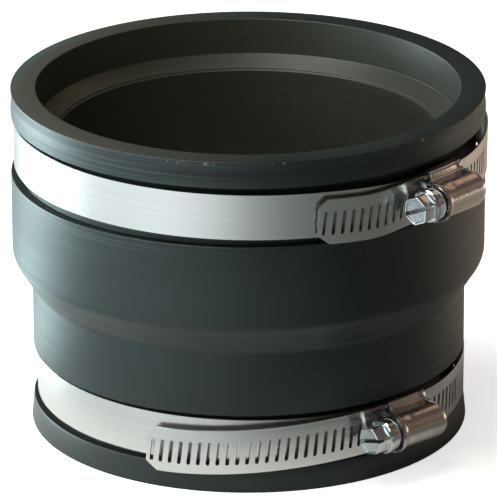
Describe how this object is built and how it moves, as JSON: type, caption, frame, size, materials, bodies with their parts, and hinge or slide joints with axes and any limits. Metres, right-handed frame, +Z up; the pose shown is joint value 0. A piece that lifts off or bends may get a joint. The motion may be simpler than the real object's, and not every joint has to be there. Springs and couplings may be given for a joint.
{
  "type": "flexible rubber pipe coupling",
  "caption": "Stepped rubber sleeve with a shallow socket and a plain bore, joining two pipes of different outside diameter, closed on each by a worm-drive steel band clamp.",
  "frame": {"origin": "on the sleeve's axis, in the plane of its foot", "axes": "+Z up the sleeve's axis from the smaller end to the larger, -Y towards the front, with the clamp screws at the front right"},
  "size_m": [0.143, 0.1424, 0.1046],
  "materials": {
    "rubber": "smooth moulded black rubber with a soft sheen",
    "band_steel": "bright rolled stainless strip with fine lengthwise lines",
    "housing_steel": "bright stamped stainless sheet",
    "screw_zinc": "bluish bright zinc plate"
  },
  "bodies": {
    "sleeve": {"sleeve": "rubber"},
    "upper_clamp": {"upper_band": "band_steel", "upper_saddle": "band_steel", "upper_housing": "housing_steel"},
    "upper_worm": {"upper_screw": "screw_zinc"},
    "lower_clamp": {"lower_band": "band_steel", "lower_saddle": "band_steel", "lower_housing": "housing_steel"},
    "lower_worm": {"lower_screw": "screw_zinc"}
  },
  "joints": [
    {"name": "upper_clamp_turn", "type": "hinge", "parent": "sleeve", "child": "upper_clamp", "pos_m": [0.00075, 0, 0.08778], "axis": [0.0087, 0, 1], "continuous": true},
    {"name": "upper_screw_turn", "type": "hinge", "parent": "upper_clamp", "child": "upper_worm", "pos_m": [0.05985, -0.04872, 0.08662], "axis": [0.6361, 0.7716, -0.0056], "continuous": true},
    {"name": "lower_clamp_turn", "type": "hinge", "parent": "sleeve", "child": "lower_clamp", "pos_m": [0.0006, 0, 0.01567], "axis": [0.0052, 0, 1], "continuous": true},
    {"name": "lower_screw_turn", "type": "hinge", "parent": "lower_clamp", "child": "lower_worm", "pos_m": [0.04861, -0.05149, 0.01542], "axis": [0.7313, 0.682, -0.0038], "continuous": true}
  ]
}
